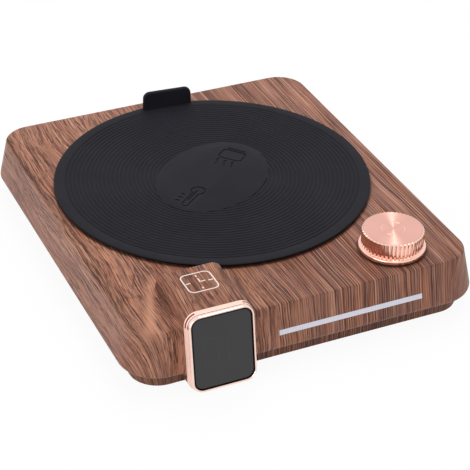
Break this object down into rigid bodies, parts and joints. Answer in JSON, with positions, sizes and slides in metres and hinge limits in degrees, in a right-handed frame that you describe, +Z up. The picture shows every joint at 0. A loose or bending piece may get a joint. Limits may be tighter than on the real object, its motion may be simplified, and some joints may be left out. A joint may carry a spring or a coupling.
{
  "type": "jar warmer",
  "caption": "Flat jar warmer: flared wood-look case on an inset plinth, round ridged silicone mat with a pull tab, fluted push-turn knob, framed leaning display and a light bar in front.",
  "frame": {"origin": "on the table, under the middle of the whole part", "axes": "+Z up, +Y to the rear wall with the inlet, -Y to the display and light bar, +X to the right"},
  "size_m": [0.1696, 0.2037, 0.0398],
  "materials": {
    "wood_print": "satin moulding with a printed wood grain",
    "plinth": "matt brown moulding",
    "silicone": "matt silicone",
    "rubber": "matt rubber",
    "rose_gold": "polished and brushed, rose-gold coloured",
    "smoked_lens": "smoked, polished",
    "diffuser": "milky, satin",
    "plate_metal": "fine-turned",
    "steel": "plated",
    "copper": "bare",
    "gasket": "matt",
    "heater_film": "film",
    "fibre": "felted fibre",
    "board": "solder mask",
    "white_board": "white solder mask",
    "black_part": "moulded",
    "blue_part": "sleeved",
    "white_part": "moulded",
    "sensor_part": "ceramic coloured",
    "red_wire": "sleeved wire",
    "black_wire": "sleeved wire",
    "grey_ribbon": "flat cable"
  },
  "bodies": {
    "base": {"upper_shell": "wood_print", "bottom_cover": "plinth", "rubber_feet": "rubber", "cover_screws": "steel", "heating_plate": "plate_metal", "plate_gasket": "gasket", "foil_heater": "heater_film", "insulation_disc": "fibre", "clamp_bracket": "steel", "bracket_screws": "steel", "thermistor": "black_part", "thermal_fuse": "sensor_part", "control_board": "board", "board_capacitors": "blue_part", "control_chip": "black_part", "power_transistor": "black_part", "board_connectors": "white_part", "board_screws": "steel", "inlet_jack": "black_part", "inlet_pin": "copper", "inlet_nut": "steel", "display_bezel": "rose_gold", "display_lens": "smoked_lens", "digit_module": "white_part", "display_board": "board", "display_screws": "steel", "light_bar": "diffuser", "bar_leds": "white_part", "light_board": "white_board", "light_screws": "steel", "front_board": "board", "front_board_screws": "steel", "touch_pad": "copper", "touch_spring": "steel", "encoder_body": "steel", "encoder_dome": "steel", "encoder_washer": "steel", "encoder_nut": "steel", "heater_leads": "red_wire", "inlet_leads": "black_wire", "front_ribbon": "grey_ribbon", "display_ribbon": "grey_ribbon", "light_leads": "red_wire"},
    "plunger": {"encoder_plunger": "white_part"},
    "knob": {"knob": "rose_gold", "knob_clip": "steel", "encoder_shaft": "steel"},
    "mat": {"silicone_mat": "silicone"}
  },
  "joints": [
    {"name": "knob_press", "type": "slide", "parent": "base", "child": "plunger", "axis": [0, 0, -1], "range_m": [0, 0.0005], "stiffness_N_per_m": 4000, "springref_m": -0.0003},
    {"name": "knob_turn", "type": "hinge", "parent": "plunger", "child": "knob", "pos_m": [0.049, -0.07075, 0.0289], "axis": [0, 0, 1], "continuous": true},
    {"name": "mat_lift", "type": "slide", "parent": "base", "child": "mat", "axis": [0, 0, 1], "range_m": [0, 0.04]}
  ]
}
